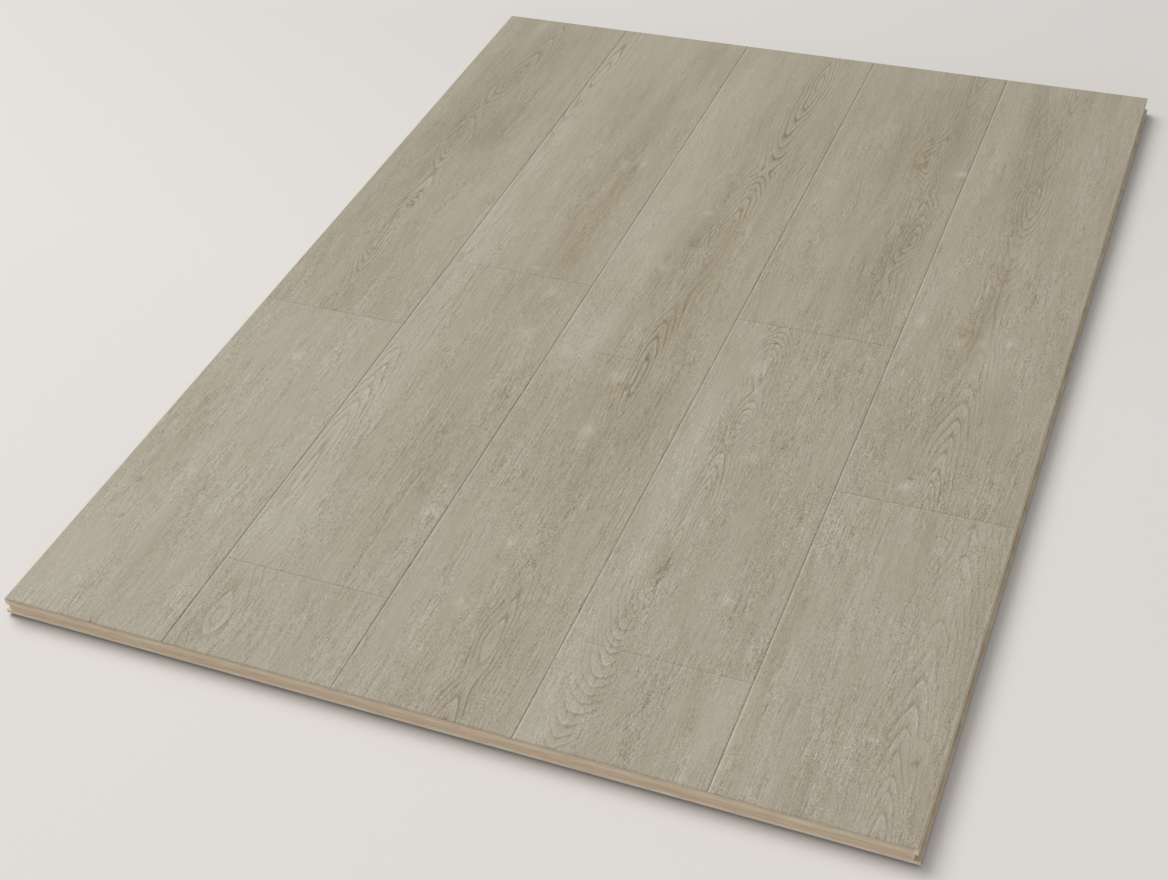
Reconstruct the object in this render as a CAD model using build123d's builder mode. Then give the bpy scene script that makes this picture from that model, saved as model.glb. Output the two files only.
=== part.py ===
from build123d import *
import os

# Glue-down vinyl plank board: one solid slab of filled vinyl, printed and embossed as oak on top.
# Its face is scored into strips, its long sides are milled with a groove, and its ends are cut square.
# Millimetres. +Z is up, +Y runs along the strips, and the origin is the centre of the underside.

# The face: strips side by side, and the length that they run.
strip_width = 152.4
strip_count = 5
board_length = 1048.0

# The milled long side, from the underside up: lower lip, groove, upper lip.
lower_lip_height = 6.5
groove_height = 7.0
upper_lip_height = 6.5
groove_depth = 2.5
groove_undercut = 0.7
lower_lip_reach = 2.0

# Small breaks on the edges, and the milling cutter's corner in the groove.
arris_bevel = 0.5
underside_bevel = 0.8
groove_corner_radius = 0.6

# The relief under each cut end, which leaves the thin dark gap that shows between the end and the floor.
end_relief_height = 2.4
end_relief_depth = 4.0

# The V line scored between two strips, and the finer line across a strip.
strip_line_width = 2.0
strip_line_depth = 0.8
cross_line_width = 1.2
cross_line_depth = 0.3

# Cross lines: how far each lies from the front end.
first_strip_cross = 436.5
second_strip_upper_cross = 548.0
second_strip_lower_cross = 100.6
third_strip_cross = 449.0
fourth_strip_upper_cross = 537.5
fourth_strip_lower_cross = 107.0
fifth_strip_cross = 333.0

# Two of the cross lines are short: where they start and stop, as shares of their strip's width.
third_strip_cross_span = (0.14, 0.56)
fourth_strip_lower_span = (0.12, 1.0)
whole_strip = (0.0, 1.0)

# Sizes that follow from the ones above.
thickness = lower_lip_height + groove_height + upper_lip_height
groove_top = lower_lip_height + groove_height
face_half_width = strip_width * strip_count / 2
lip_half_width = face_half_width + lower_lip_reach
groove_wall_top = face_half_width - groove_depth
groove_wall_foot = groove_wall_top - groove_undercut

# Each row: the strip, the distance of its line from the front end, and the span of it that is scored.
cross_lines = [
    (0, first_strip_cross, whole_strip),
    (1, second_strip_upper_cross, whole_strip),
    (1, second_strip_lower_cross, whole_strip),
    (2, third_strip_cross, third_strip_cross_span),
    (3, fourth_strip_upper_cross, whole_strip),
    (3, fourth_strip_lower_cross, fourth_strip_lower_span),
    (4, fifth_strip_cross, whole_strip),
]


def strip_edge(strip):
    """X of a strip's left edge, counting strips from the left."""
    return strip * strip_width - face_half_width


# The board is one section, mirrored about its middle and run along the whole length.
with BuildPart() as vinyl_plank_board:
    with BuildSketch(Plane.XZ.offset(-board_length / 2)) as board_section:
        with BuildLine() as section_outline:
            right_side = Polyline(
                (0, 0),
                (lip_half_width - underside_bevel, 0),
                (lip_half_width, underside_bevel),
                (lip_half_width, lower_lip_height),
                (groove_wall_foot, lower_lip_height),
                (groove_wall_top, groove_top),
                (face_half_width, groove_top),
                (face_half_width, thickness - arris_bevel),
                (face_half_width - arris_bevel, thickness),
                (0, thickness),
            )
            mirror(right_side, about=Plane.YZ)
        make_face()
        groove_roots = board_section.vertices().filter_by(
            lambda corner: 0 < corner.Y < thickness - arris_bevel and 0 < abs(corner.X) <= groove_wall_top
        )
        fillet(groove_roots, groove_corner_radius)
    extrude(amount=board_length)

    # The cut ends have the same small bevel along the face as the long sides.
    end_arrises = vinyl_plank_board.edges().filter_by(Axis.X).group_by(Axis.Z)[-1]
    chamfer(end_arrises, arris_bevel)

    # The relief under the front end, and the same one mirrored under the back end.
    with BuildSketch(Plane.YZ.offset(-lip_half_width)) as end_reliefs:
        with BuildLine():
            Polyline(
                (-board_length / 2, 0),
                (-board_length / 2, end_relief_height),
                (end_relief_depth - board_length / 2, 0),
                close=True,
            )
        make_face()
        mirror(about=Plane.XZ)
    extrude(amount=2 * lip_half_width, mode=Mode.SUBTRACT)

    # One V line between each two strips, from end to end.
    with BuildSketch(Plane.XZ.offset(-board_length / 2)) as strip_lines:
        for strip in range(1, strip_count):
            with BuildLine():
                Polyline(
                    (strip_edge(strip) - strip_line_width / 2, thickness),
                    (strip_edge(strip), thickness - strip_line_depth),
                    (strip_edge(strip) + strip_line_width / 2, thickness),
                    close=True,
                )
            make_face()
    extrude(amount=board_length, mode=Mode.SUBTRACT)

    # The cross lines, each on its own strip.
    for strip, from_front, (span_start, span_end) in cross_lines:
        line_y = from_front - board_length / 2
        line_start = strip_edge(strip) + span_start * strip_width
        line_length = (span_end - span_start) * strip_width
        with BuildSketch(Plane.YZ.offset(line_start)) as cross_line:
            with BuildLine():
                Polyline(
                    (line_y - cross_line_width / 2, thickness),
                    (line_y, thickness - cross_line_depth),
                    (line_y + cross_line_width / 2, thickness),
                    close=True,
                )
            make_face()
        extrude(amount=line_length, mode=Mode.SUBTRACT)

vinyl_plank_board.part.label = "vinyl_plank_board"
os.makedirs("parts", exist_ok=True)
export_step(vinyl_plank_board.part, "parts/vinyl_plank_board.step")
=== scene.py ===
# %% [markdown]
# # A vinyl flooring board with an oak face
#
# This lesson dresses one flat board: a slab of filled vinyl with a printed and embossed oak face, five
# strips wide. A flat thing has nothing to hide behind, so all of its looks sit in three places: the fine
# lines scored in the face, the wood figure that is printed on it, and the thin cut edge round it.
#
# The solid model of the board comes first and is never moved. Everything below is built around its box.

import math
from collections import namedtuple

import bpy
import numpy as np
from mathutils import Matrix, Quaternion, Vector


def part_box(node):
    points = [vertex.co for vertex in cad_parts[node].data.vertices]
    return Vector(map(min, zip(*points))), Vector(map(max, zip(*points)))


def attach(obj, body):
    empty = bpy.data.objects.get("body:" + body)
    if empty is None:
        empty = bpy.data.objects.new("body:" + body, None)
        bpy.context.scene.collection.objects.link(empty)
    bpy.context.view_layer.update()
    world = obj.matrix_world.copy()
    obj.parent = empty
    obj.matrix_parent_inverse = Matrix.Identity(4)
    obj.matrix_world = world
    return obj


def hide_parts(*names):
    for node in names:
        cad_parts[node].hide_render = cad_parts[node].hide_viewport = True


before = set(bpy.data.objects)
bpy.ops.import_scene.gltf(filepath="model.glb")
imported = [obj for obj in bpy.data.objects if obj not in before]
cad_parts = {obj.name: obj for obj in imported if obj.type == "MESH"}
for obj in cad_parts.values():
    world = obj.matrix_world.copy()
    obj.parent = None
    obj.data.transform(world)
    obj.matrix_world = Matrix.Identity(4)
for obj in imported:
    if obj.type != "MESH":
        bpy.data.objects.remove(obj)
SOLID_NODE = "vinyl_plank_board"
solid_low, solid_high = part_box(SOLID_NODE)
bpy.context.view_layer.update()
print("solid box", tuple(round(v, 4) for v in (*solid_low, *solid_high)))

# %% [markdown]
# ## Sizes
#
# A floor maker speaks in millimetres, and Blender in metres, so one factor turns the first into the
# second. The overall sizes are read from the solid model. What is listed below is what the box can't
# tell: the milled lips at the long sides, the widths and depths of the scored lines, and where they lie.
# Places on the face are measured from its front left corner, x to the right and y towards the back.

# %% Sizes of the board and of its scored lines
MM = 0.001
LIP_REACH = 2.0 * MM
FACE_LEFT = solid_low.x + LIP_REACH
FACE_RIGHT = solid_high.x - LIP_REACH
FRONT = solid_low.y
BACK = solid_high.y
TOP = solid_high.z
STRIPS = 5
STRIP_WIDTH = (FACE_RIGHT - FACE_LEFT) / STRIPS

STRIP_LINE_WIDTH = 1.4 * MM
STRIP_LINE_DEPTH = 0.6 * MM
CROSS_LINE_WIDTH = 1.4 * MM
CROSS_LINE_DEPTH = 0.4 * MM
ARRIS = 0.5 * MM
FACE_LAYER = 1.2 * MM

# Each cross line: its strip, its distance from the front end, the share of the strip where it starts
# and ends, and how deep it is beside the others.
CROSS_LINES = [
    (0, 436.5, 0.0, 1.0, 1.15),
    (1, 548.0, 0.0, 1.0, 1.2),
    (1, 100.6, 0.0, 1.0, 1.2),
    (2, 449.0, 0.14, 0.56, 1.1),
    (3, 537.5, 0.0, 1.0, 1.25),
    (3, 107.0, 0.12, 1.0, 0.9),
    (4, 333.0, 0.0, 1.0, 1.15),
]
print("strip width, mm:", round(STRIP_WIDTH / MM, 1), " length, mm:", round((BACK - FRONT) / MM, 1))

# %% [markdown]
# ## Noise on arrays
#
# Wood is never even. The cheapest unevenness is value noise: random heights on a square lattice with a
# smooth blend between them. Worked out on whole numpy arrays it costs a few milliseconds for a hundred
# thousand points, and a fixed seed gives the same board each time.

# %% Value noise
LATTICE = 256


def cloud(u, v, seed):
    """Random heights from -1 to 1 at whole (u, v), blended between the four corners with 3t^2 - 2t^3."""
    heights = np.random.default_rng(seed).uniform(-1, 1, (LATTICE, LATTICE))
    column = np.floor(u).astype(int)
    row = np.floor(v).astype(int)
    across = u - column
    along = v - row
    across = across * across * (3 - 2 * across)
    along = along * along * (3 - 2 * along)
    here = heights[column % LATTICE, row % LATTICE]
    right = heights[(column + 1) % LATTICE, row % LATTICE]
    above = heights[column % LATTICE, (row + 1) % LATTICE]
    corner = heights[(column + 1) % LATTICE, (row + 1) % LATTICE]
    lower = here + (right - here) * across
    upper = above + (corner - above) * across
    return lower + (upper - lower) * along


def bump_at(distance, reach):
    """A bell curve, exp(-(distance / reach)^2): one at the middle, nearly nothing past two reaches."""
    return np.exp(-((distance / reach) ** 2))


def between(value, low, high, soft):
    """One between low and high and nothing outside, with a smooth ramp as wide as soft on each of them."""
    rise = np.clip((value - low) / soft + 0.5, 0, 1)
    fall = np.clip((high - value) / soft + 0.5, 0, 1)
    return rise * rise * (3 - 2 * rise) * fall * fall * (3 - 2 * fall)


# %% [markdown]
# ## The wood figure
#
# The print copies plain-sawn oak, and a saw explains it. A log is a nest of cones, one for each year. A flat
# cut through it shows straight lines at its sides, and a column of arches, the *heart*, where it comes
# nearest to the middle of the log. The heart lies on a line across the face, at some depth under it. So the
# distance to the middle of the log is the hypotenuse of an offset and a depth, and counting that distance
# in ring widths gives every line of the figure. Where the depth grows the arches point to the back, where
# it shrinks they point to the front, and round its smallest values they close into leaves.
#
# Each plank is cut from its own log. Its spread says how fast the lines part away from the heart: a low one
# gives a wide heart. The stations below are listed in millimetres from the front left corner of the face:
# y, the heart's x, its depth, and how plainly its rings show.

# %% One plank after another
# Each plank: its strip, where it starts and ends, its tone, its ring width, its spread and its stations.
Plank = namedtuple("Plank", "strip front back tone ring spread stations")
PLANKS = [
    Plank(0, 0.0, 436.5, 0.01, 3.2, 0.9, [
        (0, 84, 18, 0.2), (160, 88, 14, 0.3), (240, 92, 18, 0.2), (436, 76, 22, 0.2),
    ]),
    Plank(0, 436.5, 1048.0, -0.035, 3.0, 0.9, [
        (436, 76, 16, 0.2), (500, 70, 10, 0.3), (545, 63, 1.5, 0.7), (600, 61, 3, 0.5),
        (628, 66, 1.5, 0.9), (660, 66, 9, 0.6), (700, 62, 14, 0.6), (735, 58, 5, 0.8),
        (760, 60, 2, 0.7), (800, 56, 10, 0.6), (830, 57, 16, 0.6), (870, 60, 8, 0.7), (905, 66, 3, 0.5),
        (960, 70, 12, 0.5), (1048, 75, 20, 0.4),
    ]),
    Plank(1, 0.0, 100.6, -0.01, 5.0, 0.9, [
        (0, 182, 14, 0.3), (15, 182, 10, 0.8), (38, 182, 1.5, 0.9), (70, 179, 10, 0.8),
        (101, 172, 15, 0.3),
    ]),
    Plank(1, 100.6, 548.0, 0.0, 3.0, 0.8, [
        (101, 158, 6, 0.3), (200, 164, 2, 0.6), (265, 165, 4, 0.9), (345, 165, 12, 0.9),
        (400, 166, 18, 0.4), (548, 168, 24, 0.2),
    ]),
    Plank(1, 548.0, 1048.0, 0.0, 3.0, 0.9, [
        (548, 160, 22, 0.15), (800, 158, 14, 0.3), (900, 160, 6, 0.8), (935, 160, 3, 0.8),
        (980, 162, 7, 0.8), (1048, 165, 12, 0.3),
    ]),
    Plank(2, 0.0, 1048.0, 0.0, 2.8, 0.8, [
        (0, 402, 2, 0.9), (25, 402, 6, 1.0), (45, 405, 8, 0.9), (85, 404, 3, 1.0), (128, 405, 9, 0.9),
        (200, 400, 14, 0.3), (300, 400, 12, 0.3), (360, 402, 8, 0.4), (410, 398, 3, 0.9),
        (445, 397, 3, 0.9), (512, 396, 10, 0.9), (560, 398, 13, 0.6), (620, 399, 11, 0.5),
        (650, 392, 4, 0.7), (690, 402, 3, 0.8), (740, 404, 9, 0.8), (787, 404, 18, 0.9),
        (800, 405, 18, 0.9), (870, 405, 11, 0.7), (930, 408, 6, 0.8), (985, 411, 1.5, 0.9),
        (1048, 408, 8, 0.4),
    ]),
    Plank(3, 0.0, 537.5, 0.0, 2.8, 0.95, [
        (0, 490, 54, 0.5), (54, 496, 40, 0.55), (80, 498, 31, 0.55), (106, 499, 27, 0.55),
        (156, 500, 12, 0.5), (198, 503, 2, 0.5), (235, 504, 1.5, 0.9), (262, 504, 4.5, 0.9),
        (285, 507, 1.5, 1.0), (320, 507, 5, 1.0), (355, 507, 12, 0.9), (398, 509, 2, 0.9),
        (438, 508, 10, 0.9), (455, 505, 7, 0.4), (490, 503, 7, 0.7), (537, 503, 23, 0.85),
    ]),
    Plank(3, 537.5, 1048.0, -0.02, 3.2, 0.9, [
        (537, 586, 6, 0.3), (590, 577, 8, 0.3), (650, 574, 12, 0.3), (712, 582, 2, 0.6),
        (760, 583, 10, 0.4), (800, 575, 14, 0.3), (850, 558, 3, 0.7), (905, 572, 9, 0.3),
        (960, 578, 12, 0.4), (1048, 583, 4, 0.5),
    ]),
    Plank(4, 0.0, 333.0, 0.02, 3.0, 1.0, [
        (0, 731, 3, 0.9), (30, 730, 8, 0.95), (60, 729, 12.5, 0.9), (106, 728, 19, 0.75),
        (150, 729, 24, 0.6), (250, 730, 34, 0.5), (306, 729, 40, 0.5), (333, 729, 43, 0.5),
    ]),
    Plank(4, 333.0, 1048.0, 0.0, 3.0, 0.95, [
        (333, 686, 2, 0.6), (370, 686, 7, 0.7), (410, 686, 12, 0.7), (440, 685, 16, 0.7),
        (470, 685, 20, 0.6), (505, 684, 25, 0.3), (560, 682, 28, 0.2), (650, 681, 30, 0.3),
        (700, 682, 22, 0.2), (760, 684, 12, 0.4), (810, 684, 4, 0.5), (860, 684, 6, 0.4),
        (905, 683, 3, 0.4), (950, 684, 9, 0.5), (1048, 687, 2, 0.7),
    ]),
]
print(len(PLANKS), "planks with", sum(len(plank.stations) for plank in PLANKS), "stations")

# %% Knots and bands
# Knots: x, y, width, length, how pale (above 0) or dark (below 0), and how far the fibres bend.
KNOTS = [
    (77, 362, 7, 9, 0.6, 5),
    (66, 628, 6, 5, -1.0, 4),
    (63, 541, 4, 5, -1.0, 3),
    (28, 162, 4, 5, -0.8, 3),
    (38, 117, 4, 4, -0.7, 3),
    (126, 162, 9, 5, 0.5, 6),
    (277, 771, 5, 9, 0.6, 6),
    (270, 762, 3, 13, -0.9, 5),
    (257, 760, 5, 9, 0.4, 2),
    (241, 560, 9, 4, 0.4, 4),
    (270, 525, 9, 8, 0.4, 5),
    (272, 458, 10, 15, 0.6, 5),
    (293, 204, 6, 5, 0.7, 4),
    (373, 701, 6, 5, 0.5, 5),
    (378, 645, 8, 9, -0.6, 8),
    (360, 596, 8, 9, 0.4, 7),
    (380, 422, 10, 12, 0.7, 6),
    (386, 411, 2.2, 5, -1.4, 2),
    (394, 410, 2.0, 5, -1.2, 2),
    (380, 341, 8, 14, 0.7, 5),
    (373, 190, 4, 7, 0.8, 4),
    (390, 197, 4, 6, 0.4, 2),
    (362, 116, 6, 8, 0.5, 4),
    (558, 850, 6, 14, -0.08, 9),
    (602, 842, 8, 5, 0.8, 6),
    (504, 208, 4, 16, -0.7, 3),
    (503, 511, 3, 5, -0.7, 2),
    (498, 471, 8, 15, 0.5, 2),
    (509, 416, 5, 17, 0.4, 3),
    (532, 352, 9, 14, 0.4, 6),
    (564, 182, 4, 5, 0.7, 3),
    (578, 56, 2.5, 10, -0.9, 2),
    (667, 576, 7, 6, -0.35, 7),
    (664, 560, 6, 8, 0.4, 3),
    (708, 573, 8, 5, 0.6, 7),
    (686, 566, 4, 12, 0.5, 3),
    (687, 374, 3, 6, -0.8, 2),
    (622, 582, 7, 10, 0.6, 3),
    (666, 356, 5, 8, 0.9, 4),
    (666, 366, 3.5, 2.5, -0.8, 2),
    (706, 83, 6, 3, 0.6, 4),
    (742, 72, 4, 6, -1.0, 3),
]

# Brown bands: x, half width, y where it starts and ends, and strength.
BROWN_BANDS = [
    (75, 55, 690, 1020, 0.5),
    (74, 14, 440, 530, 0.5),
    (24, 9, 150, 300, 0.3),
    (258, 36, 220, 920, 0.5),
    (266, 14, 549, 760, 0.4),
    (398, 44, -20, 1060, 0.5),
    (404, 24, 380, 720, 0.3),
    (548, 42, 600, 1010, 0.45),
    (585, 16, 530, 640, 0.45),
    (572, 12, 640, 800, 0.25),
    (562, 14, 800, 900, 0.25),
    (577, 5, 36, 110, 0.8),
    (500, 7, 185, 235, 0.5),
    (619, 6, 0, 230, 0.5),
    (668, 26, 400, 700, 0.5),
    (677, 10, 560, 690, 0.45),
    (682, 22, 740, 1030, 0.5),
    (689, 4, 1000, 1025, 0.8),
    (724, 9, 62, 80, 0.6),
    (755, 9, -20, 900, 0.5),
]

# Pale bands (above 0) and thin dark lines (below 0), given the same way.
PALE_BANDS = [
    (60, 2.2, 543, 618, -4.5),
    (66.5, 1.6, 632, 662, -3.5),
    (56, 1.6, 628, 650, -2.5),
    (17, 1.0, 440, 520, -2.5),
    (62, 1.2, 440, 500, -2.5),
    (93, 1.0, 440, 480, -2.0),
    (102, 1.3, 800, 930, -2.2),
    (35, 1.2, 880, 990, -1.6),
    (262, 0.9, 106, 290, -2.5),
    (248, 0.9, 560, 650, -2.0),
    (251, 0.9, 560, 640, 2.0),
    (513, 1.3, 275, 325, -3.5),
    (531, 0.8, 340, 372, -3.0),
    (683, 1.3, 605, 705, -3.0),
    (718, 1.1, 62, 105, -3.5),
    (729, 1.3, 298, 332, -2.5),
    (737, 1.0, 150, 200, -2.5),
    (66, 6, 655, 700, 1.2),
    (163, 8, 200, 350, 0.9),
    (158, 4, 110, 200, 0.8),
    (163, 9, 880, 1010, 0.7),
    (291, 7, 0, 100, 0.9),
    (264.5, 1.2, 106, 300, 3.0),
    (348, 5, 195, 265, 0.9),
    (330, 16, 700, 1000, 0.4),
    (468, 11, -20, 530, 1.0),
    (504, 5, 238, 345, 1.6),
    (498, 6, 452, 492, 1.6),
    (618, 9, 480, 640, 0.7),
    (690, 4, 470, 620, 0.7),
    (735, 14, 0, 330, 0.4),
]

# Clouds of the print: x, y, half width, half length, and how much paler (above 0) or darker, in hundredths.
CLOUDS = [
    (25, 80, 36, 90, 7),
    (92, 90, 20, 90, -3),
    (110, 260, 34, 110, 3),
    (30, 360, 26, 60, 4),
    (24, 230, 20, 60, -3),
    (132, 700, 20, 220, 5),
    (82, 790, 26, 45, -6),
    (30, 790, 26, 60, -5),
    (30, 540, 16, 70, -4),
    (60, 920, 30, 70, -3),
    (182, 165, 28, 60, 10),
    (172, 340, 22, 100, 8),
    (235, 220, 16, 40, 4),
    (170, 600, 24, 140, 10),
    (172, 860, 22, 130, 5),
    (262, 640, 24, 90, -3),
    (262, 800, 26, 90, -4),
    (280, 990, 26, 60, -6),
    (250, 420, 24, 60, -4),
    (265, 270, 24, 60, -4),
    (325, 850, 22, 150, 8),
    (328, 460, 26, 60, 13),
    (322, 640, 16, 90, 6),
    (330, 120, 24, 100, 3),
    (400, 600, 34, 120, -3),
    (416, 860, 34, 130, -4),
    (424, 370, 26, 80, -5),
    (358, 290, 20, 80, -5),
    (480, 240, 19, 290, 8),
    (480, 700, 20, 160, 4),
    (560, 880, 34, 90, -6),
    (590, 960, 26, 70, -5),
    (580, 700, 30, 90, -2),
    (560, 400, 30, 100, -2),
    (590, 60, 18, 60, 5),
    (622, 760, 12, 260, 6),
    (670, 950, 30, 90, -6),
    (668, 800, 26, 60, -4),
    (670, 600, 24, 60, -2),
    (735, 860, 26, 140, 2),
    (695, 540, 24, 40, 6),
    (640, 170, 26, 150, 3),
    (735, 200, 20, 130, 3),
]

# Insets, where the print starts anew with a crisp edge: x and y where each starts and ends, and its tone.
INSETS = [
    (574, 620, -10, 107.0, 0.05),
    (455, 478, -10, 107.0, 0.03),
    (304, 340, 437, 449.0, 0.03),
]

# %% [markdown]
# Fibres run along the board and step aside at a knot, as water does at a stone. The coordinate *grain*
# counts millimetres across the fibres: it is x, plus a slow wander, pushed away from each knot by a bell
# curve. Everything printed follows it, so one line of code bends all strokes and rings alike.

# %% Fields of the figure
WANDER = 2.0
FINE_WANDER = 0.7
BEND_WIDTH = 1.6
BEND_LENGTH = 2.6
HEART_REACH = 15.0
HEART_SWAY = 1.6
DEPTH_SWAY = 0.9
DEPTH_RIPPLE = 0.25
TIP_SHARPNESS = 1.6
RING_UNEVENNESS = 0.5
SHOWS_MIDDLE = 0.8
SHOWS_SWING = 0.55
STRAIGHT_SHOWS = 0.25
STATION_SOFTNESS = 10
STATION_MARGIN = 50
PLANK_SHIFT = 61.8
KNOT_SIZE = 0.8
KNOT_TONE = 0.2
RAGGEDNESS = 0.4
PALE_KNOT_GAIN = 1.3
PALE_BAND_TONE = 0.04
BROWN_TONE = 0.03
CLOUD_TONE = 0.01
CLOUD_DRIFT = 6
BAND_END = 25
BAND_WAVE = 0.25
BAND_MIDDLE = 0.7
BAND_SWING = 0.6
INSET_SIDE = 12
INSET_END = 1.5


def fibre_lines(x, y):
    """x plus a slow wander, pushed aside by u * exp(-u^2 - v^2) at each knot, u and v in knot sizes."""
    grain = x + WANDER * cloud(x / 45, y / 170, 11) + FINE_WANDER * cloud(x / 14, y / 60, 12)
    for knot_x, knot_y, width, length, _, bend in KNOTS:
        u = (x - knot_x) / (BEND_WIDTH * width)
        v = (y - knot_y) / (BEND_LENGTH * length)
        grain = grain - bend * u * np.exp(-u * u - v * v)
    return grain


def along_plank(plank, column, y):
    """One column of the stations at each y, joined by straight lines and averaged over a centimetre."""
    ruler = np.arange(plank.front - STATION_MARGIN, plank.back + STATION_MARGIN)
    places = [station[0] for station in plank.stations]
    values = np.interp(ruler, places, [station[column] for station in plank.stations])
    window = np.hanning(2 * STATION_SOFTNESS + 1)
    values = np.convolve(values, window / window.sum(), "same")
    return np.interp(y, ruler, values)


def heart_rings(plank, grain, y, seed):
    """Rings = (|spread * offset|^p + depth^p)^(1/p) / ring width, with p under 2 for a pointed tip."""
    offset = grain - along_plank(plank, 1, y) - HEART_SWAY * cloud(grain / 30, y / 55, seed)
    depth = along_plank(plank, 2, y) + DEPTH_SWAY * cloud(grain / 16, y / 32, seed + 1)
    depth = depth + DEPTH_RIPPLE * cloud(grain / 4, y / 11, seed + 2)
    spread = np.abs(plank.spread * offset) ** TIP_SHARPNESS
    radius = (spread + np.abs(depth) ** TIP_SHARPNESS) ** (1 / TIP_SHARPNESS)
    rings = radius / plank.ring + RING_UNEVENNESS * cloud(radius / 8, y / 400, seed + 3)
    shows = along_plank(plank, 3, y) * bump_at(offset, HEART_REACH / math.sqrt(plank.spread))
    broken = SHOWS_MIDDLE + SHOWS_SWING * cloud(grain / 7, y / 30, seed + 4)
    straight = STRAIGHT_SHOWS * np.clip(0.4 + cloud(grain / 11, y / 160, seed + 5), 0, 1)
    return rings, np.clip(shows * broken + straight, 0, 1)


def bands(x, y, rows, seed):
    """The sum of soft-edged bands along the board, each broken up by noise."""
    total = np.zeros_like(x)
    for middle, half_width, start, end, strength in rows:
        wavy = x - middle - BAND_WAVE * half_width * cloud(x / 60 + middle, y / 70, seed)
        total += strength * bump_at(wavy, half_width) * between(y, start, end, BAND_END)
    return total * (BAND_MIDDLE + BAND_SWING * cloud(x / 9, y / 45, seed + 1))


def knot_spots(x, y):
    """Pale and dark of the knots: a bell curve each, with a ragged outline."""
    total = np.zeros_like(x)
    ragged = RAGGEDNESS * cloud(x / 4, y / 7, 41) + RAGGEDNESS * cloud(x / 2.2, y / 5, 42)
    for knot_x, knot_y, width, length, tone, _ in KNOTS:
        distance = np.hypot((x - knot_x) / width, (y - knot_y) / length) * (1 + ragged)
        total += tone * (PALE_KNOT_GAIN if tone > 0 else 1.0) * bump_at(distance, KNOT_SIZE)
    return total


def cloud_tone(x, y):
    """The insets, and the sum of the print's clouds: strength * exp(-distance^2), with both half sizes."""
    total = np.zeros_like(x)
    for left, right, front, back, tone in INSETS:
        total += tone * between(x, left, right, INSET_SIDE) * between(y, front, back, INSET_END)
    drift = CLOUD_DRIFT * cloud(x / 30, y / 60, 43)
    for cloud_x, cloud_y, half_width, half_length, strength in CLOUDS:
        distance = np.hypot((x + drift - cloud_x) / half_width, (y - cloud_y) / half_length)
        total += CLOUD_TONE * strength * bump_at(distance, 1.0)
    return total


def figure_fields(number, x, y):
    """Every field of one strip, plank by plank, so that the figure breaks off where a plank ends."""
    grain = fibre_lines(x, y)
    rings = np.zeros_like(x)
    shows = np.zeros_like(x)
    plank_tone = np.zeros_like(x)
    shift = np.zeros_like(x)
    for order, plank in enumerate(PLANKS):
        if plank.strip == number:
            here = (y >= plank.front) & (y <= plank.back)
            plank_rings, plank_shows = heart_rings(plank, grain[here], y[here], 100 + 10 * order)
            rings[here] = plank_rings
            shows[here] = plank_shows
            plank_tone[here] = plank.tone
            shift[here] = PLANK_SHIFT * order
    brown = bands(grain, y, BROWN_BANDS, 51)
    tone = plank_tone + cloud_tone(x, y) + PALE_BAND_TONE * bands(grain, y, PALE_BANDS, 61)
    tone = tone + KNOT_TONE * knot_spots(x, y) - BROWN_TONE * brown
    return {"grain": grain + shift, "rings": rings, "shows": shows, "brown": brown, "tone": tone}


# %% [markdown]
# ## The face, one piece for each strip
#
# A real face is pressed by an embossed plate while it is warm: each scored line and each open pore is a
# dent in it. So the face here is a fine grid whose points are pushed down, never up, so that it never rises
# above the solid's top. One grid over the whole face would be too heavy for one piece, so each strip is its
# own thin slab, and two slabs meet at the bottom of the scored line between them, where no seam can show.
#
# The grid is tighter across the board than along it, as the grain is. Extra columns and rows lie on the
# edges of every scored line, so that the lines stay straight and crisp.

# %% Rows and columns of a strip's grid
COLUMN_COUNT = 140
ROW_COUNT = 668
ROW_CLEARANCE = 0.7


def strip_columns(number):
    """X of the grid's columns: even ones from rim to rim, plus the foot of a line or arris at each side."""
    left = FACE_LEFT + number * STRIP_WIDTH
    right = left + STRIP_WIDTH
    left_rim = ARRIS if number == 0 else STRIP_LINE_WIDTH / 2
    right_rim = ARRIS if number == STRIPS - 1 else STRIP_LINE_WIDTH / 2
    even = np.linspace(left + left_rim, right - right_rim, COLUMN_COUNT)
    return np.concatenate([[left], even, [right]])


def strip_rows(number):
    """Y of the grid's rows: even ones, plus three on each cross line and one at each end."""
    even = np.linspace(FRONT + ARRIS, BACK - ARRIS, ROW_COUNT)
    extra = []
    for strip, from_front, *_ in CROSS_LINES:
        if strip == number:
            middle = FRONT + from_front * MM
            rims = [middle - CROSS_LINE_WIDTH / 2, middle, middle + CROSS_LINE_WIDTH / 2]
            even = even[np.abs(even - middle) > CROSS_LINE_WIDTH * ROW_CLEARANCE]
            extra += rims
    return np.sort(np.concatenate([[FRONT], even, [BACK], extra]))
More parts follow.
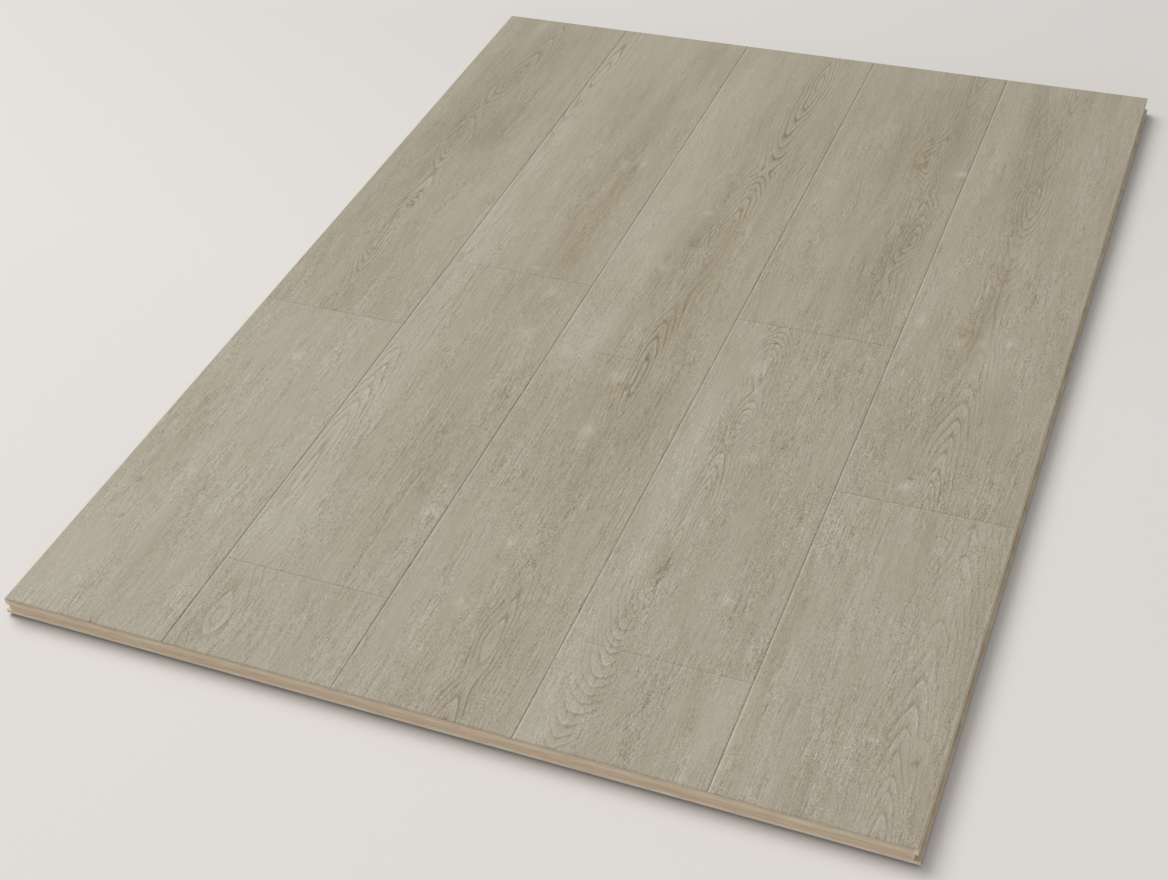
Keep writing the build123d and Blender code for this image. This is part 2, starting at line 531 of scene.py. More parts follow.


# %% [markdown]
# The height of a point is the board's top, less the deepest line or chamfer that reaches it, less the
# emboss, which fades out in a scored line. A V line's depth falls evenly from its foot to its rims. The
# arris is a small chamfer round the outside. The emboss follows the fibres: noise that is long along the
# grain and narrow across it, pressed in only where it is above zero, and a shallow wave for the rings.
#
# Painted shade darkens the foot of a line, and a painted highlight brightens the rim that the light meets: a
# dark bell curve on the line and a pale one beside it. The board's right side has such a painted highlight
# on its rim as well, and the face is a little darker along both ends.

# %% Height of the face
PORE_DEPTH = 0.05 * MM
RING_DEPTH = 0.04 * MM
# Painted light on the scored lines: painted shade at a line's foot, painted highlights on the rims that the
# light meets and on the board's right rim, and a darker line along both ends.
PAINTED_LIGHT_REACH = 0.5 * MM
FOOT_PAINTED_SHADE = 0.3
FOOT_SHIFT = 0.2 * MM
RIM_PAINTED_HIGHLIGHT = 2.4
RIM_SHIFT = 1.1 * MM
CROSS_RIM_PAINTED_HIGHLIGHT = 0.4
CROSS_RIM_SHIFT = 1.4 * MM
EDGE_REACH = 0.7 * MM
END_DARKENING = 0.15
SIDE_PAINTED_HIGHLIGHT = 1.2
SIDE_SHIFT = 1.0 * MM
LINE_FADE = 0.04
ROUNDING = 1e-6


def scored_span(share, start, end):
    """Where across its strip a cross line is scored: sharply over all of it, or softly over a part of it."""
    if (start, end) == (0.0, 1.0):
        return (share > -ROUNDING) & (share < 1 + ROUNDING)
    return between(share, start, end, LINE_FADE)


def scored_lines(x, y):
    """Depth of the lines, depth * (1 - distance / half width), and their painted light: dark bells of
    painted shade less pale ones of painted highlight.
    """
    depth = np.zeros_like(x)
    ink = np.zeros_like(x)
    for line in range(1, STRIPS):
        beside = x - FACE_LEFT - line * STRIP_WIDTH
        depth = np.maximum(depth, STRIP_LINE_DEPTH * (1 - np.abs(beside) / (STRIP_LINE_WIDTH / 2)))
        # Painted shade at the foot of the line, and a painted highlight on its right rim, where the light
        # meets it.
        foot = FOOT_PAINTED_SHADE * bump_at(beside + FOOT_SHIFT, PAINTED_LIGHT_REACH)
        ink += foot - RIM_PAINTED_HIGHLIGHT * bump_at(beside - RIM_SHIFT, PAINTED_LIGHT_REACH)
    for strip, from_front, start, end, share in CROSS_LINES:
        beside = y - (FRONT + from_front * MM)
        on_line = scored_span((x - (FACE_LEFT + strip * STRIP_WIDTH)) / STRIP_WIDTH, start, end)
        slope = np.maximum(1 - np.abs(beside) / (CROSS_LINE_WIDTH / 2), 0)
        depth = np.maximum(depth, CROSS_LINE_DEPTH * share * on_line * slope)
        # Painted shade on the cross line, and a painted highlight on its front rim.
        rim = CROSS_RIM_PAINTED_HIGHLIGHT * bump_at(beside + CROSS_RIM_SHIFT, PAINTED_LIGHT_REACH)
        ink += share * on_line * (bump_at(beside, PAINTED_LIGHT_REACH) - rim)
    # A darker line along both ends, and a painted highlight along the board's right rim.
    to_end = np.minimum(y - FRONT, BACK - y)
    side_highlight = SIDE_PAINTED_HIGHLIGHT * bump_at(FACE_RIGHT - x - SIDE_SHIFT, EDGE_REACH)
    return depth, ink + END_DARKENING * bump_at(to_end, EDGE_REACH) - side_highlight


def arris_depth(x, y):
    """Depth of the chamfer: as much as a point lies nearer than its width to the board's outline."""
    to_side = np.minimum(x - FACE_LEFT, FACE_RIGHT - x)
    to_end = np.minimum(y - FRONT, BACK - y)
    return np.maximum(ARRIS - np.minimum(to_side, to_end), 0)


def emboss_depth(grain, y, rings, shows):
    """Pores: what two noises stretched along the grain have above zero. Rings: a wave at the heart."""
    pores = np.clip(cloud(grain / 2.1, y / 26, 31) * 0.7 + cloud(grain / 4.6, y / 60, 32) * 0.5, 0, 1)
    wave = 0.5 + 0.5 * np.cos(2 * math.pi * rings)
    return PORE_DEPTH * pores + RING_DEPTH * shows * wave


# %% [markdown]
# Each strip is closed into a slab: the grid on top, a skirt of four sided faces down to a flat bed, and
# one flat face underneath. Its own UV map folds the long strip into two side by side halves, so that a
# square picture baked from it spends its pixels on the face and not on the hidden underside.

# %% Build one strip
MAP_NAME = "OFBake"
TOP_SHARE = 0.94
SKIRT_SHARE = (0.945, 0.968)
BED_SHARE = (0.972, 1.0)


def slab_faces(columns, rows):
    """Corner numbers of the top's quads, of the rim going round, and of the skirt's quads."""
    index = np.arange(rows * columns).reshape(rows, columns)
    top = np.stack([index[:-1, :-1], index[:-1, 1:], index[1:, 1:], index[1:, :-1]], -1).reshape(-1, 4)
    rim = np.concatenate([index[0, :-1], index[:-1, -1], index[-1, :0:-1], index[:0:-1, 0]])
    low = rows * columns + np.arange(len(rim))
    skirt = np.stack([rim, low, np.roll(low, -1), np.roll(rim, -1)], -1)
    return top, rim, low, skirt


def slab_map(top, skirt, low, columns, rows, x_share, y_share):
    """The UV map: the top in two halves side by side, then the skirt, then the bed, each in its own part."""
    row_of_face = np.repeat(np.arange(rows - 1), columns - 1)
    half = (row_of_face >= (rows - 1) // 2).astype(float)
    fold = y_share[((rows - 1) // 2) * columns]
    length = np.where(half > 0, 1 - fold, fold)
    u = (half[:, None] + 0.01 + 0.98 * x_share[top]) / 2 * TOP_SHARE
    v = (y_share[top] - half[:, None] * fold) / length[:, None]
    round_rim = np.arange(len(low)) / len(low)
    step = 1 / len(low)
    inner, outer = SKIRT_SHARE
    skirt_u = np.broadcast_to(np.array([inner, outer, outer, inner]), skirt.shape)
    skirt_v = np.stack([round_rim, round_rim, round_rim + step, round_rim + step], -1)
    rim_x = x_share[skirt[::-1, 0]]
    rim_y = y_share[skirt[::-1, 0]]
    bed_u = BED_SHARE[0] + (BED_SHARE[1] - BED_SHARE[0]) * rim_x
    parts = [np.stack([u, v], -1).reshape(-1, 2), np.stack([skirt_u, skirt_v], -1).reshape(-1, 2)]
    return np.concatenate([*parts, np.stack([bed_u, rim_y], -1)])


def add_field(mesh, name, values):
    """Stores one number for each point under a name that a material can read."""
    field = mesh.attributes.new(name, "FLOAT", "POINT")
    field.data.foreach_set("value", values.astype(np.float32))


def face_strip(number):
    """One strip of the face as a closed slab, with the fields of its figure."""
    across = strip_columns(number)
    along = strip_rows(number)
    columns, rows = len(across), len(along)
    x, y = (part.ravel() for part in np.meshgrid(across, along))
    y_mm = (y - FRONT) / MM
    fields = figure_fields(number, (x - FACE_LEFT) / MM, y_mm)
    scored, fields["ink"] = scored_lines(x, y)
    emboss = emboss_depth(fields["grain"], y_mm, fields["rings"], fields["shows"])
    flat = np.clip(1 - scored / CROSS_LINE_DEPTH, 0, 1)
    z = TOP - np.maximum(scored, arris_depth(x, y)) - flat * emboss
    top, rim, low, skirt = slab_faces(columns, rows)
    bed = np.stack([x[rim], y[rim], np.full(len(rim), TOP - FACE_LAYER)], -1)
    places = np.concatenate([np.stack([x, y, z], -1), bed])
    mesh = bpy.data.meshes.new(f"face_strip_{number + 1}")
    mesh.from_pydata(places.tolist(), [], top.tolist() + skirt.tolist() + [low[::-1].tolist()])
    x_share = (x - across[0]) / (across[-1] - across[0])
    y_share = (y - along[0]) / (along[-1] - along[0])
    uv = slab_map(top, skirt, low, columns, rows, x_share, y_share)
    mesh.uv_layers.new(name=MAP_NAME).uv.foreach_set("vector", uv.astype(np.float32).ravel())
    for name, values in fields.items():
        add_field(mesh, name, np.concatenate([values, values[rim]]))
    kind = np.concatenate([np.zeros(len(top)), np.ones(len(skirt) + 1)]).astype(np.int32)
    mesh.polygons.foreach_set("material_index", kind)
    smooth = np.zeros(len(mesh.polygons), bool)
    smooth[: len(top)] = True
    mesh.polygons.foreach_set("use_smooth", smooth)
    mesh.validate()
    piece = bpy.data.objects.new(mesh.name, mesh)
    bpy.context.scene.collection.objects.link(piece)
    return piece


face_strips = [face_strip(number) for number in range(STRIPS)]
print("face points:", sum(len(piece.data.vertices) for piece in face_strips))

# %% [markdown]
# ## The body under the face
#
# Below the printed layer the board is one run of a single section: a lower lip, a milled groove, an
# upper lip, the same on both long sides. It is a profile carried along a straight path, so the mesh is
# the outer product of a list of section points and a list of places along the board. Where a cutter
# leaves a corner, the profile has a short curve, because a perfectly sharp edge never catches the light.
#
# The foot of both ends is cut back on a slant, which leaves the thin dark gap between board and floor.
# So each end has two flat faces: the upright one, and the slanted one below it.

# %% The milled section
LOWER_LIP = 6.5 * MM
GROOVE_TOP = 13.5 * MM
GROOVE_DEPTH = 2.5 * MM
GROOVE_UNDERCUT = 0.7 * MM
CUTTER_CORNER = 0.6 * MM
LIP_CORNER = 0.35 * MM
UNDERSIDE_BEVEL = 0.8 * MM
END_FOOT = 3.2 * MM
END_UNDERCUT = 5.0 * MM
CORNER_STEPS = 4


def rounded(points, radii):
    """Replaces each corner by a quadratic curve that starts and ends one radius away from it."""
    made = []
    share = np.linspace(0, 1, CORNER_STEPS)[:, None]
    for number in range(1, len(points) - 1):
        before, corner, after = (np.array(points[number + step]) for step in (-1, 0, 1))
        radius = radii[number]
        if radius == 0:
            made.append(corner[None])
            continue
        start = corner + (before - corner) / np.linalg.norm(before - corner) * radius
        end = corner + (after - corner) / np.linalg.norm(after - corner) * radius
        made.append((1 - share) ** 2 * start + 2 * share * (1 - share) * corner + share ** 2 * end)
    return np.concatenate([np.array(points[:1]), *made, np.array(points[-1:])])


def right_side():
    """The right half of the section, from the middle of the underside round to the middle of the bed."""
    lip = solid_high.x
    wall_top = FACE_RIGHT - GROOVE_DEPTH
    wall_foot = wall_top - GROOVE_UNDERCUT
    bed = TOP - FACE_LAYER
    points = [
        (0.0, 0.0), (lip - UNDERSIDE_BEVEL, 0.0), (lip, UNDERSIDE_BEVEL), (lip, END_FOOT), (lip, LOWER_LIP),
        (wall_foot, LOWER_LIP), (wall_top, GROOVE_TOP), (FACE_RIGHT, GROOVE_TOP), (FACE_RIGHT, bed),
        (0.0, bed),
    ]
    radii = [0, LIP_CORNER, LIP_CORNER, 0, LIP_CORNER, CUTTER_CORNER, CUTTER_CORNER, LIP_CORNER, 0, 0]
    return rounded(points, radii)


# %% [markdown]
# The body's UV map gives every stretch of the profile a share of the picture, but no stretch more than a
# set width counts for: the wide underside would otherwise take it all and leave the lips a pixel each.

# %% Build the body
BODY_ROWS = 160
WIDEST_SHARE = 12.0 * MM
END_BAND = 0.12
BAND_FILL = 0.95
BAND_GAP = 0.005
ROUNDING_HEIGHT = 1e-9


def body_map(section, end_rings):
    """The UV map: the profile's stretches one above another, and over them a band for each end."""
    spans = np.minimum(np.linalg.norm(np.roll(section, -1, axis=0) - section, axis=1), WIDEST_SHARE)
    reach = np.concatenate([[0], np.cumsum(spans)]) / spans.sum() * (1 - 2 * END_BAND)
    t = np.linspace(0, 1, BODY_ROWS)
    u_grid = np.stack([t[:-1], t[:-1], t[1:], t[1:]], -1)[:, None, ::-1]
    v_grid = np.stack([reach[:-1], reach[1:], reach[1:], reach[:-1]], -1)[None, :, ::-1]
    side_uv = np.stack(np.broadcast_arrays(u_grid, v_grid), -1).reshape(-1, 2)
    end_u = (section[:, 0] - solid_low.x) / (solid_high.x - solid_low.x)
    end_v = section[:, 1] / TOP * END_BAND * BAND_FILL
    front_uv = np.stack([end_u, 1 - 2 * END_BAND + BAND_GAP + end_v], -1)
    back_uv = np.stack([end_u, 1 - END_BAND + BAND_GAP + end_v], -1)
    front_parts = [front_uv[ring] for ring in end_rings]
    back_parts = [back_uv[ring[::-1]] for ring in end_rings]
    return np.concatenate([side_uv, *front_parts, *back_parts])


def board_body():
    """The section swept along the board: point (i, j) is section point j at row i. An end has two faces."""
    half = right_side()
    left = half[-2:0:-1] * np.array([-1.0, 1.0])
    section = np.concatenate([half, left])
    places_along = np.linspace(FRONT, BACK, BODY_ROWS)
    count = len(section)
    x = np.broadcast_to(section[:, 0], (BODY_ROWS, count))
    z = np.broadcast_to(section[:, 1], (BODY_ROWS, count))
    y = np.repeat(places_along[:, None], count, axis=1)
    cut_back = END_UNDERCUT * np.maximum(1 - section[:, 1] / END_FOOT, 0)
    y[0] += cut_back
    y[-1] -= cut_back
    index = np.arange(BODY_ROWS * count).reshape(BODY_ROWS, count)
    around = np.roll(index, -1, axis=1)
    sides = np.stack([index[:-1], around[:-1], around[1:], index[1:]], -1)[..., ::-1].reshape(-1, 4)
    above = np.flatnonzero(section[:, 1] > END_FOOT - ROUNDING_HEIGHT)
    below = np.concatenate([np.arange(above[-1], count), np.arange(0, above[0] + 1)])
    ends = [index[0, above], index[0, below], index[-1, above[::-1]], index[-1, below[::-1]]]
    mesh = bpy.data.meshes.new("board_body")
    faces = sides.tolist() + [end.tolist() for end in ends]
    mesh.from_pydata(np.stack([x, y, z], -1).reshape(-1, 3).tolist(), [], faces)
    uv = body_map(section, [above, below])
    mesh.uv_layers.new(name=MAP_NAME).uv.foreach_set("vector", uv.astype(np.float32).ravel())
    mesh.validate()
    piece = bpy.data.objects.new("board_body", mesh)
    bpy.context.scene.collection.objects.link(piece)
    return piece


body = board_body()
print("body points:", len(body.data.vertices))

# %% [markdown]
# ## Writing shader maths as expressions
#
# A material is arithmetic on patterns. Wiring it node by node hides the formula, so a small class wraps a
# socket and turns `a * b + c` into Math nodes. Every other node comes from one method, `node`, which
# takes the node's type, its settings and what goes into its sockets.

# %% A socket that does arithmetic
class Wire:
    """An output socket. Arithmetic on it, from either side, adds a Math node and gives a new Wire."""

    def __init__(self, finish, socket):
        self.finish = finish
        self.socket = socket

    def math(self, operation, *others):
        values = {0: self, **{number + 1: other for number, other in enumerate(others)}}
        return self.finish.node("ShaderNodeMath", {"operation": operation}, values)

    def flipped(self, operation, other):
        return self.finish.node("ShaderNodeMath", {"operation": operation}, {0: other, 1: self})

    def __add__(self, other):
        return self.math("ADD", other)

    def __radd__(self, other):
        return self.flipped("ADD", other)

    def __sub__(self, other):
        return self.math("SUBTRACT", other)

    def __rsub__(self, other):
        return self.flipped("SUBTRACT", other)

    def __mul__(self, other):
        return self.math("MULTIPLY", other)

    def __rmul__(self, other):
        return self.flipped("MULTIPLY", other)

    def __pow__(self, other):
        return self.math("POWER", other)


class Finish:
    """A material that is being put together, with the one method that makes nodes."""

    def __init__(self, name):
        self.material = bpy.data.materials.new(name)
        self.material.use_nodes = True
        self.tree = self.material.node_tree
        self.tree.nodes.clear()

    def node(self, kind, settings=None, inputs=None, output=0):
        """Makes a node, sets its settings, then its sockets, and gives one of its outputs as a Wire."""
        made = self.tree.nodes.new(kind)
        for name, value in (settings or {}).items():
            if name == "stops":
                self.set_stops(made.color_ramp, value)
            else:
                setattr(made, name, value)
        for name, value in (inputs or {}).items():
            socket = made.inputs[name] if isinstance(name, int) else self.open_socket(made, name)
            if isinstance(value, Wire):
                self.tree.links.new(value.socket, socket)
            else:
                socket.default_value = value
        outlets = [socket for socket in made.outputs if socket.enabled]
        if not outlets:
            return None
        return Wire(self, outlets[output] if isinstance(output, int) else made.outputs[output])

    def open_socket(self, made, name):
        """The enabled input of that name: a Mix node has one A for numbers and another for colours."""
        return next(socket for socket in made.inputs if socket.name == name and socket.enabled)

    def set_stops(self, ramp, stops):
        """Gives a ramp its stops, each a place from 0 to 1 and a colour."""
        while len(ramp.elements) < len(stops):
            ramp.elements.new(1.0)
        for element, (place, colour) in zip(ramp.elements, stops):
            element.position = place
            element.color = colour


def seen(red, green, blue):
    """A colour as a screen shows it, 0 to 255, turned into the linear values that a shader uses."""
    shares = np.array([red, green, blue]) / 255
    linear = np.where(shares <= 0.04045, shares / 12.92, ((shares + 0.055) / 1.055) ** 2.4)
    return (*linear.tolist(), 1.0)


# %% [markdown]
# ## The oak print
#
# Up close the print is a mesh of short strokes: pale fibres, darker fibres and open pores, all long
# along the grain. Further away the eye sees slow clouds, the brown bands, the arches and the knots. Each
# of those is one pattern on the coordinates (grain, y), so every stroke bends round the knots by itself.
# They are added to one tone from 0, dark, to 1, pale, and a ramp gives that tone its greige colours.
#
# Plain noise looks woolly, because most of it lies near its middle. Real strokes are few and strong. So
# the finest layers go through *needles*, which keeps the strong strokes and quietens all others.
#
# A ring is dark and porous where the year begins and pales towards its end, so its line is a saw tooth: the
# fraction of the ring count, risen fast and let down slowly, with a pale rim just before the next ring.
# Strokes added to the count first fray its edge.

# %% Helpers for patterns along the grain
# A layer of strokes: their width and length in millimetres, the noise's detail, roughness and seed, how
# much the layer adds to the tone or level that it is laid on, and how much to the height of the surface.
Layer = namedtuple("Layer", "width length detail roughness seed gain relief", defaults=[0.0])
NEEDLE_BASE = 0.35
NEEDLE_GAIN = 3.4
SHEEN = 0.3
PRINT_ROUGHNESS = 0.55
CORE_ROUGHNESS = 0.7
ROUGHNESS_SWING = 0.2


def millimetres(finish, axis):
    """One of the board's own coordinates, X, Y or Z, in millimetres."""
    place = finish.node("ShaderNodeTexCoord", output="Object")
    return finish.node("ShaderNodeSeparateXYZ", inputs={"Vector": place}, output=axis) * (1 / MM)


def field(finish, name):
    """One of the fields stored on the points."""
    return finish.node("ShaderNodeAttribute", {"attribute_name": name}, output="Fac")


def strokes(finish, grain, along, layer):
    """Noise from -0.5 to 0.5, stretched to one width across the grain and one length along it."""
    place = finish.node("ShaderNodeCombineXYZ", inputs={
        "X": grain * (1 / layer.width), "Y": along * (1 / layer.length), "Z": layer.seed,
    })
    noise = finish.node("ShaderNodeTexNoise", {"noise_dimensions": "3D"}, {
        "Vector": place, "Scale": 1.0, "Detail": layer.detail, "Roughness": layer.roughness,
    })
    return noise - 0.5


def needles(noise):
    """Keeps a noise's strong strokes and quietens its weak ones: noise * (base + gain * |noise|)."""
    return noise * (noise.math("ABSOLUTE") * NEEDLE_GAIN + NEEDLE_BASE)


def ridge(noise, sharpness):
    """Thin lines where a noise passes through its middle: 1 - sharpness * |noise|, not below zero."""
    return (1.0 - noise.math("ABSOLUTE") * sharpness).math("MAXIMUM", 0.0)


def ramp(finish, place, stops):
    """A colour for each place from 0 to 1, between stops that each are a place and a colour as seen."""
    return finish.node("ShaderNodeValToRGB", {"stops": [(at, seen(*colour)) for at, colour in stops]}, {
        "Fac": place,
    })


def mixed(finish, factor, first, second, blend="MIX"):
    """The first colour blended with the second, as far as factor says."""
    settings = {"data_type": "RGBA", "blend_type": blend, "clamp_factor": True}
    return finish.node("ShaderNodeMix", settings, {"Factor": factor, "A": first, "B": second})


def surfaced(finish, colour, roughness, height, strength, depth):
    """Ends a material with its colour, its roughness, and dents that are depth deep for a height of one."""
    dents = finish.node("ShaderNodeBump", inputs={"Strength": strength, "Distance": depth, "Height": height})
    surface = finish.node("ShaderNodeBsdfPrincipled", inputs={
        "Base Color": colour, "Roughness": roughness, "Normal": dents, "Specular IOR Level": SHEEN,
    })
    finish.node("ShaderNodeOutputMaterial", inputs={"Surface": surface})
    return finish.material


# %% The printed face's material
DASHES = Layer(1.3, 3.6, 1.0, 0.6, 1.3, 0.46, 0.4)
HAIRS = Layer(1.2, 22, 1.0, 0.6, 4.7, 0.22, 0.3)
FIBRES = Layer(1.4, 40, 2.0, 0.6, 8.2, 0.11, 0.2)
SPECKS = Layer(1.1, 1.8, 0.0, 0.5, 2.9, 0.36)
STREAKS = Layer(4.5, 60, 3.0, 0.55, 2.1, 0.14)
BROAD = Layer(20, 220, 2.0, 0.5, 3.9, 0.23)
PATCHES = Layer(22, 100, 1.0, 0.5, 7.1, 0.04)
PALE_THREADS = Layer(2.2, 40, 1.0, 0.5, 9.7, 0.12)
DARK_THREADS = Layer(2.6, 46, 1.0, 0.5, 5.3, -0.12, -0.4)
PORES = Layer(0.9, 9, 1.0, 0.5, 6.4, -0.07, -0.6)
THREAD_SHARPNESS = 22
PORE_SHARPNESS = 6.0
PORE_RARITY = 0.9
MIDDLE_TONE = 0.573
PAINTED_LIGHT_TONE = 0.14
FIBRE_FRAY = 0.08
STREAK_FRAY = 0.12
DASH_FRAY = 0.05
RING_RISE = 8.0
RING_FALL = 3.4
RING_RIM_RISE = 5.0
RING_LINE_TONE = 0.42
RING_RIM_TONE = 0.12
RING_LINE_RELIEF = -0.3
HEART_TONE = 0.04
CALM_TO_BACK = 0.0008
CALM_TO_RIGHT = -0.0003
CALM_MIDDLE = 0.07
ROUGH_MIDDLE = 0.9
ROUGH_SWING = 2.4
ROUGH_LEAST = 0.35
BAND_BROWN = 0.8
RING_BROWN = 0.3
STREAK_BROWN = 0.5
GREIGE = [(0.0, (96, 86, 66)), (0.3, (136, 127, 106)), (0.55, (170, 162, 143)), (1.0, (206, 200, 184))]
BROWN_TINT = seen(251, 243, 231)


def oak_print():
    """Tone = strokes + clouds + the tone field - pores - ring lines - the lines' painted light, then a ramp.
    """
    finish = Finish("oak_print")
    x = millimetres(finish, "X")
    y = millimetres(finish, "Y")
    grain = field(finish, "grain")
    shows = field(finish, "shows")
    dashes = needles(strokes(finish, grain, y, DASHES))
    hairs = needles(strokes(finish, grain, y, HAIRS))
    fibres = strokes(finish, grain, y, FIBRES)
    specks = strokes(finish, grain, y, SPECKS)
    streaks = strokes(finish, grain, y, STREAKS)
    broad = strokes(finish, grain, y, BROAD)
    patches = strokes(finish, grain, y, PATCHES)
    pale_threads = ridge(strokes(finish, grain, y, PALE_THREADS), THREAD_SHARPNESS)
    dark_threads = ridge(strokes(finish, grain, y, DARK_THREADS), THREAD_SHARPNESS)

    # The saw tooth of the rings, and the pores, which crowd where a ring line runs.
    turn = field(finish, "rings") + fibres * FIBRE_FRAY + streaks * STREAK_FRAY + dashes * DASH_FRAY
    turn = turn.math("FRACT")
    ring_lines = (turn * RING_RISE).math("MINIMUM", 1.0) * (1.0 - turn) ** RING_FALL
    ring_rims = (turn * RING_RIM_RISE - (RING_RIM_RISE - 1)).math("MAXIMUM", 0.0)
    pores = strokes(finish, grain, y, PORES) * PORE_SHARPNESS - PORE_RARITY + ring_lines * shows
    pores = pores.math("MAXIMUM", 0.0).math("MINIMUM", 1.0)

    # The print is calmer towards the back, and rougher in some patches than in others.
    calm = (y * CALM_TO_BACK + x * CALM_TO_RIGHT + CALM_MIDDLE).math("MAXIMUM", 0.0)
    rough = (patches * ROUGH_SWING + ROUGH_MIDDLE).math("MAXIMUM", ROUGH_LEAST) * (1.0 - calm)

    fine = dashes * DASHES.gain + hairs * HAIRS.gain + fibres * FIBRES.gain + specks * SPECKS.gain
    threads = pale_threads * PALE_THREADS.gain + dark_threads * DARK_THREADS.gain + pores * PORES.gain
    tone = MIDDLE_TONE + fine * rough + streaks * STREAKS.gain + broad * BROAD.gain
    tone = tone + threads * rough + patches * PATCHES.gain
    # The lines' painted light: painted shade darkens the tone at their feet, and painted highlights lighten
    # it on their rims.
    tone = tone + field(finish, "tone") - field(finish, "ink") * PAINTED_LIGHT_TONE
    tone = tone + shows * (ring_rims * RING_RIM_TONE - ring_lines * RING_LINE_TONE + HEART_TONE)
    browned = field(finish, "brown") * BAND_BROWN + ring_lines * shows * RING_BROWN + streaks * STREAK_BROWN
    colour = mixed(finish, browned, ramp(finish, tone, GREIGE), BROWN_TINT, "MULTIPLY")

    height = dashes * DASHES.relief + hairs * HAIRS.relief + fibres * FIBRES.relief
    height = height + pores * PORES.relief + dark_threads * DARK_THREADS.relief
    height = height + ring_lines * shows * RING_LINE_RELIEF
    roughness = PRINT_ROUGHNESS + dashes * ROUGHNESS_SWING + pores * ROUGHNESS_SWING
    return surfaced(finish, colour, roughness, height, strength=0.6, depth=0.15 * MM)


# %% [markdown]
# ## The cut edge
#
# A saw cut shows the filled core: tan, with faint level bands where the layers were pressed together, and
# short streaks that the blade drew along it. The bands depend on the height alone, so the material
# reads Z, and a little noise keeps them from being ruled lines. The milled sides are painted paler than
# the sawn ends, painted light for sides that stand in shade, and a thin dark line of painted shade lies
# near the groove's top. A slow drift between olive and pink runs along both.
#
# The lowest part of every edge is painted dark: painted shade for the gap over the floor, where hardly
# any light gets in.

# %% The core's material
WAVES = Layer(3.0, 45, 2.0, 0.5, 5.5, 0.8)
SAW_STREAKS = Layer(0.8, 22, 3.0, 0.6, 7.7, 1.5, 1.0)
SAW_SPECKS = Layer(0.5, 1.2, 1.0, 0.5, 9.1, 0.5, 0.5)
DRIFT = Layer(9.0, 26, 1.0, 0.5, 3.1, 1.6)
MIDDLE_SHADE = 0.72
MILLED_REACH = 3.4
# The lowest stop of both ramps is painted shade for the gap over the floor.
SAWN_BANDS_AND_PAINTED_SHADE = [
    (0.14, (88, 78, 66)), (0.16, (230, 218, 200)), (0.27, (230, 218, 200)), (0.36, (214, 196, 172)),
    (0.62, (214, 196, 171)), (0.74, (225, 211, 190)), (0.84, (220, 206, 185)), (0.96, (198, 184, 162)),
]
# The milled sides: paler throughout as painted light, with painted shade in the thin dark line near the
# groove's top.
MILLED_BANDS_AND_PAINTED_LIGHT = [
    (0.14, (88, 78, 66)), (0.16, (226, 211, 186)), (0.31, (234, 221, 197)), (0.36, (226, 216, 195)),
    (0.62, (238, 229, 209)), (0.67, (196, 186, 164)), (0.71, (238, 229, 209)), (0.97, (226, 217, 196)),
]
SHADES = [(0.0, (190, 182, 170)), (1.0, (255, 255, 255))]
DRIFT_TINTS = [(0.3, (250, 253, 247)), (0.7, (255, 247, 246))]


def core_vinyl():
    """A ramp over the height gives the bands and their painted shade and light, and stretched noise the
    saw's streaks and the slow drift.
    """
    finish = Finish("core_vinyl")
    x = millimetres(finish, "X")
    z = millimetres(finish, "Z")
    run = x + millimetres(finish, "Y")
    level = (z + strokes(finish, z, run, WAVES) * WAVES.gain) * (1 / (TOP / MM))
    milled = (x.math("ABSOLUTE") - (FACE_RIGHT / MM - MILLED_REACH)).math("SIGN").math("MAXIMUM", 0.0)
    bands_and_painted_light = mixed(finish, milled, ramp(finish, level, SAWN_BANDS_AND_PAINTED_SHADE), ramp(finish, level, MILLED_BANDS_AND_PAINTED_LIGHT))
    streaks = strokes(finish, z, run, SAW_STREAKS)
    specks = strokes(finish, z, run, SAW_SPECKS)
    shade = ramp(finish, MIDDLE_SHADE + streaks * SAW_STREAKS.gain + specks * SAW_SPECKS.gain, SHADES)
    drift = ramp(finish, 0.5 + strokes(finish, z, run, DRIFT) * DRIFT.gain, DRIFT_TINTS)
    colour = mixed(finish, 1.0, mixed(finish, 1.0, bands_and_painted_light, shade, "MULTIPLY"), drift, "MULTIPLY")
    height = streaks * SAW_STREAKS.relief + specks * SAW_SPECKS.relief
    roughness = CORE_ROUGHNESS + streaks * ROUGHNESS_SWING
    return surfaced(finish, colour, roughness, height, strength=0.4, depth=0.1 * MM)


# %% Put the materials on the pieces
oak = oak_print()
core = core_vinyl()
for piece in face_strips:
    piece.data.materials.append(oak)
    piece.data.materials.append(core)
body.data.materials.append(core)
for piece in [*face_strips, body]:
    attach(piece, "root")
    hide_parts(SOLID_NODE)
print("materials:", [material.name for material in bpy.data.materials])

# %% [markdown]
# ## Floor, light and camera
#
# The board lies on a pale floor whose colour ramp is painted light, a little paler in front than behind. One
# very large soft light high on the left draws the gentle shadow on the right. A small low one in front
# reaches the front edge, which the first leaves in shade, and an even sky fills the rest.

# %% Stage
FLOOR_SIZE = 12.0
# The floor's colour ramp is painted light: paler in front and darker behind.
FLOOR_PAINTED_LIGHT = [(0.0, (235, 231, 227)), (0.5, (233, 230, 226)), (1.0, (224, 221, 217))]


def pale_floor():
    """A matt material whose ramp of painted light runs from half a metre before the board's middle to half a
    metre behind.
    """
    finish = Finish("pale_floor")
    place = finish.node("ShaderNodeTexCoord", output="Object")
    y = finish.node("ShaderNodeSeparateXYZ", inputs={"Vector": place}, output="Y")
    surface = finish.node("ShaderNodeBsdfPrincipled", inputs={
        "Base Color": ramp(finish, y + 0.5, FLOOR_PAINTED_LIGHT), "Roughness": 0.9, "Specular IOR Level": 0.1,
    })
    finish.node("ShaderNodeOutputMaterial", inputs={"Surface": surface})
    return finish.material


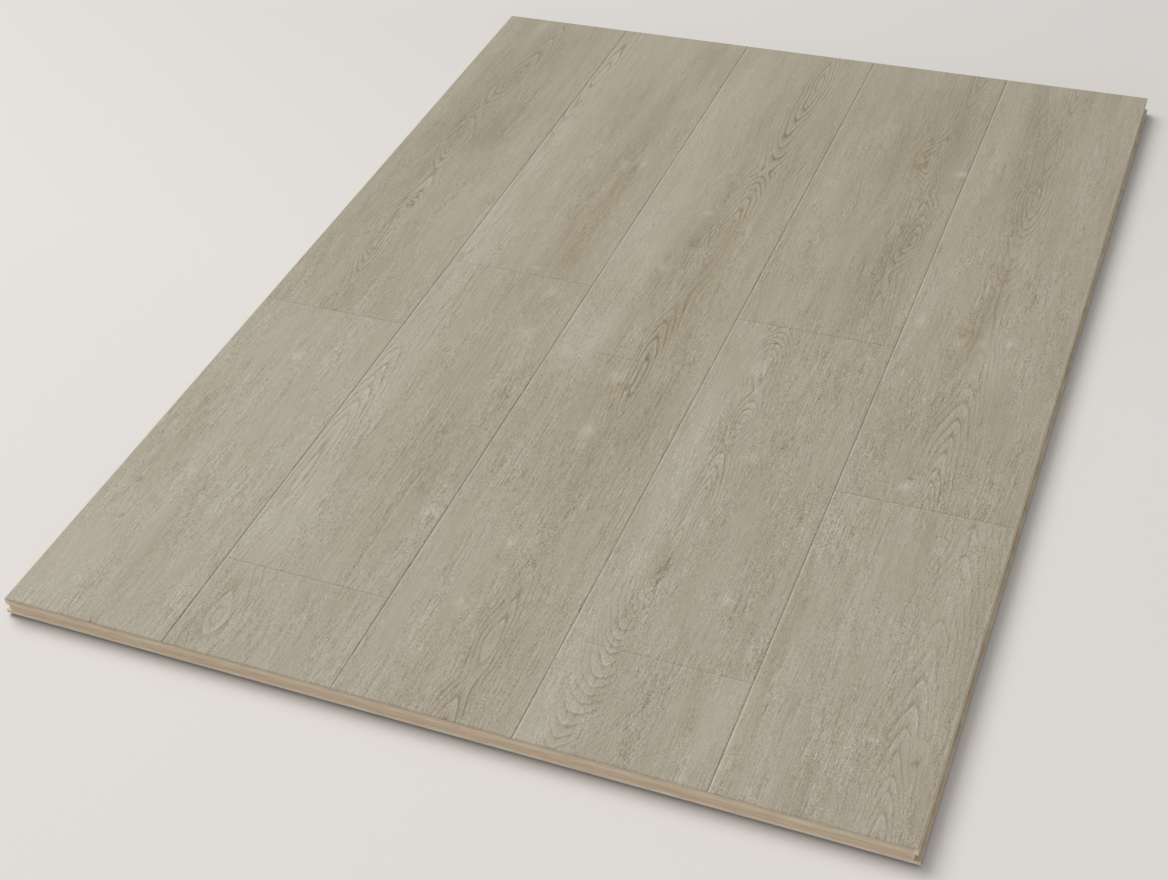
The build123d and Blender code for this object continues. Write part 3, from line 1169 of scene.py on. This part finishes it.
floor_mesh = bpy.data.meshes.new("floor")
reach = FLOOR_SIZE / 2
floor_corners = [(-reach, -reach, 0), (reach, -reach, 0), (reach, reach, 0), (-reach, reach, 0)]
floor_mesh.from_pydata(floor_corners, [], [(0, 1, 2, 3)])
floor = bpy.data.objects.new("floor", floor_mesh)
bpy.context.scene.collection.objects.link(floor)
floor_mesh.materials.append(pale_floor())

# %% Lights
SKY_STRENGTH = 0.385


def soft_light(name, place, size, power):
    """A square white area light at place, facing the middle of the board's underside."""
    data = bpy.data.lights.new(name, "AREA")
    data.size = size
    data.energy = power
    light = bpy.data.objects.new(name, data)
    light.location = place
    light.rotation_mode = "QUATERNION"
    light.rotation_quaternion = (-Vector(place)).to_track_quat("-Z", "Y")
    bpy.context.scene.collection.objects.link(light)


soft_light("key_light", place=(-3.9, 1.8, 5.8), size=4.6, power=358)
soft_light("front_light", place=(0.9, -3.0, 0.5), size=1.5, power=15.5)
world = bpy.data.worlds.new("even_sky")
world.use_nodes = True
world.node_tree.nodes["Background"].inputs["Color"].default_value = (1.0, 1.0, 1.0, 1.0)
world.node_tree.nodes["Background"].inputs["Strength"].default_value = SKY_STRENGTH
bpy.context.scene.world = world
bpy.context.scene.view_settings.view_transform = "Standard"

# %% [markdown]
# The camera stands in front of the board and a little to its right, a metre above the floor, and looks to
# the left across the face, so the front edge runs downhill. It leans five degrees to one side, which makes
# that slope gentler.

# %% Camera
CAMERA_PLACE = Vector((0.4972, -1.2557, 1.0250))
CAMERA_AIM = Vector((0.0023, -0.1946, TOP))
CAMERA_ROLL = math.radians(4.93)
CAMERA_LENS = 53.92
camera_data = bpy.data.cameras.new("camera")
camera_data.lens = CAMERA_LENS
camera_data.sensor_width = 36.0
camera_data.sensor_fit = "HORIZONTAL"
camera = bpy.data.objects.new("camera", camera_data)
camera.location = CAMERA_PLACE
camera.rotation_mode = "QUATERNION"
looking = (CAMERA_AIM - CAMERA_PLACE).to_track_quat("-Z", "Y")
camera.rotation_quaternion = looking @ Quaternion((0, 0, 1), -CAMERA_ROLL)
bpy.context.scene.collection.objects.link(camera)
bpy.context.scene.camera = camera
bpy.context.view_layer.update()
print("camera at", tuple(round(v, 3) for v in camera.location))
